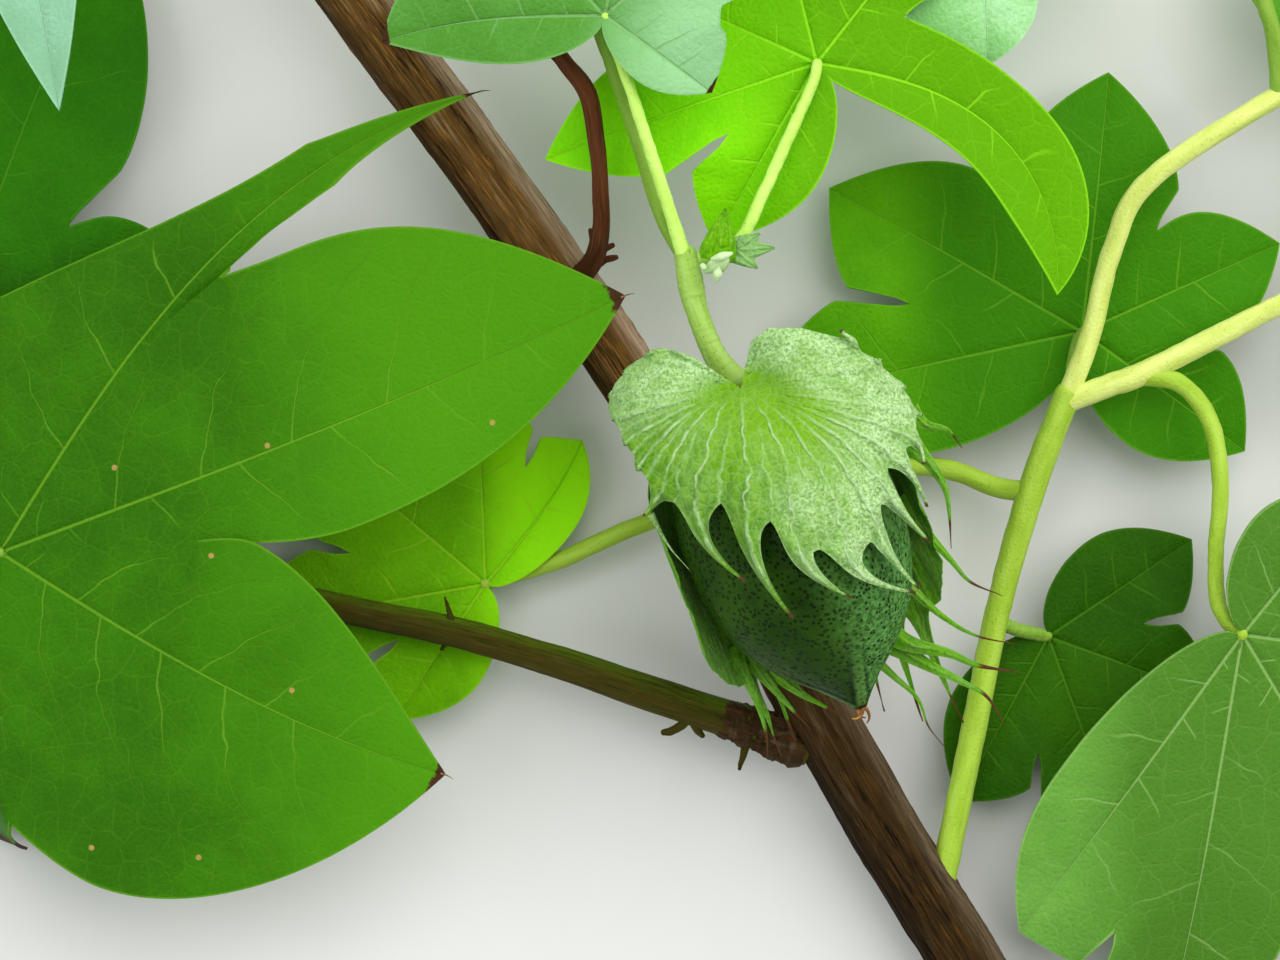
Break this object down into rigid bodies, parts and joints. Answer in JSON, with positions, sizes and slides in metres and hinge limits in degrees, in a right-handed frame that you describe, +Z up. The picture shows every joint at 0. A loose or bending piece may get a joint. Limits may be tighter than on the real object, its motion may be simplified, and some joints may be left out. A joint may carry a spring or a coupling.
{
  "type": "cut cotton branch with boll",
  "caption": "Cut branch of a cotton plant lying down: woody stem with a side branch, lobed leaves on petioles and a green boll in its fringed bracts.",
  "frame": {"origin": "centre of the bounding box in plan, at the level of the lowest point, which is the surface that the cutting lies on", "axes": "+Z up, away from the surface; the camera of the picture looks along -Z, with its picture's right as +X and its picture's top as +Y"},
  "size_m": [0.2592, 0.2086, 0.0527],
  "materials": {
    "bark": "stringy brown bark",
    "shoot": "pale green, finely downy",
    "leaf": "matt green with pale veins",
    "bract": "pale green, downy",
    "boll": "dark green, waxy and pitted"
  },
  "bodies": {
    "root": {"main_stem": "bark", "side_branch": "bark", "twig": "bark", "internode": "shoot", "peduncle": "shoot", "petiole_c": "shoot", "petiole_d": "shoot", "right_shoot": "shoot", "outer_shoot": "shoot", "upper_shoot": "shoot", "petiole_a": "shoot", "petiole_b": "shoot", "petiole_b2": "shoot", "petiole_e": "shoot", "petiole_f": "shoot", "petiole_g": "shoot", "petiole_i": "shoot", "petiole_j": "shoot", "leaf_a": "leaf", "leaf_b": "leaf", "leaf_b2": "leaf", "leaf_c": "leaf", "leaf_d": "leaf", "leaf_e": "leaf", "leaf_f": "leaf", "leaf_g": "leaf", "leaf_i": "leaf", "leaf_j": "leaf", "leaf_k": "leaf", "leaf_l": "leaf", "boll": "boll", "bract_front": "bract", "bract_left": "bract", "bract_right": "bract", "bud_bract_left": "bract", "bud_bract_right": "bract", "bud": "bract"}
  },
  "joints": []
}
